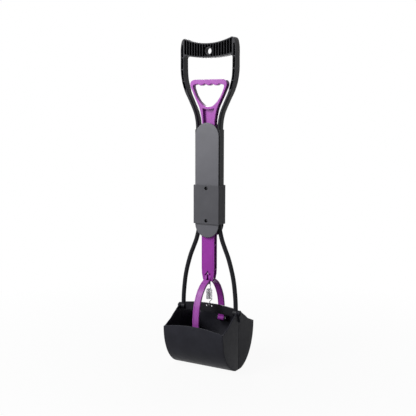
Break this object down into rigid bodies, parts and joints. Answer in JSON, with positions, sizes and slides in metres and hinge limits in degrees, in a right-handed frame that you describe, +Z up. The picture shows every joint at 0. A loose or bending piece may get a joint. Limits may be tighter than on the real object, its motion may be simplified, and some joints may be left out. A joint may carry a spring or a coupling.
{
  "type": "jaw pooper scooper",
  "caption": "Long-handled pet waste scooper: a trigger under a ribbed grip lifts a rod and two links that swing a pair of bucket jaws open, and a spring shuts them.",
  "frame": {"origin": "on the ground under the middle of the closed jaws", "axes": "+Z up along the handle, +X to the right along the jaws' hinge line, -Y towards the front cover"},
  "size_m": [0.1406, 0.125, 0.625],
  "materials": {
    "charcoal_plastic": "satin moulded plastic with a fine grain",
    "slate_plastic": "matt moulded plastic",
    "violet_plastic": "satin to glossy moulded plastic",
    "screw_steel": "plated steel",
    "spring_steel": "bright plated spring wire"
  },
  "bodies": {
    "frame": {"handle_frame": "charcoal_plastic", "lower_frame": "charcoal_plastic", "front_cover": "slate_plastic", "rear_cover": "slate_plastic", "collar_front": "slate_plastic", "collar_rear": "slate_plastic", "collar_screw_lower": "screw_steel", "collar_screw_upper": "screw_steel", "cover_screw_lower_right": "screw_steel", "cover_screw_lower_left": "screw_steel", "cover_screw_middle_right": "screw_steel", "cover_screw_middle_left": "screw_steel", "cover_screw_upper_right": "screw_steel", "cover_screw_upper_left": "screw_steel", "hinge_pin_right": "charcoal_plastic", "hinge_pin_left": "charcoal_plastic"},
    "trigger_rod": {"trigger_handle": "violet_plastic", "pull_rod": "violet_plastic", "rod_screw_lower": "screw_steel", "rod_screw_upper": "screw_steel", "link_pin": "screw_steel", "return_spring": "spring_steel"},
    "rear_jaw_body": {"rear_jaw": "charcoal_plastic", "rear_jaw_pin": "screw_steel"},
    "front_jaw_body": {"front_jaw": "charcoal_plastic", "front_jaw_pin": "screw_steel"},
    "rear_link_body": {"rear_link": "violet_plastic"},
    "front_link_body": {"front_link": "violet_plastic"}
  },
  "joints": [
    {"name": "trigger_slide", "type": "slide", "parent": "frame", "child": "trigger_rod", "axis": [0, 0, 1], "range_m": [0, 0.03], "stiffness_N_per_m": 350, "springref_m": -0.015, "deforming": ["return_spring"]},
    {"name": "rear_jaw_hinge", "type": "hinge", "parent": "frame", "child": "rear_jaw_body", "pos_m": [0, 0, 0.11], "axis": [1, 0, 0], "range_deg": [0, 37.5]},
    {"name": "front_jaw_hinge", "type": "hinge", "parent": "frame", "child": "front_jaw_body", "pos_m": [0, 0, 0.11], "axis": [-1, 0, 0], "range_deg": [0, 37.5]},
    {"name": "rear_link_hinge", "type": "hinge", "parent": "rear_jaw_body", "child": "rear_link_body", "pos_m": [0, 0.049, 0.081], "axis": [-1, 0, 0], "range_deg": [0, 31.3]},
    {"name": "front_link_hinge", "type": "hinge", "parent": "front_jaw_body", "child": "front_link_body", "pos_m": [0, -0.049, 0.081], "axis": [1, 0, 0], "range_deg": [0, 31.3]}
  ],
  "couplings": [
    {"joint": "rear_jaw_hinge", "follows": "trigger_slide", "rad_per_m": 21.758},
    {"joint": "front_jaw_hinge", "follows": "trigger_slide", "rad_per_m": 21.758},
    {"joint": "rear_link_hinge", "follows": "trigger_slide", "rad_per_m": 18.151},
    {"joint": "front_link_hinge", "follows": "trigger_slide", "rad_per_m": 18.151}
  ]
}
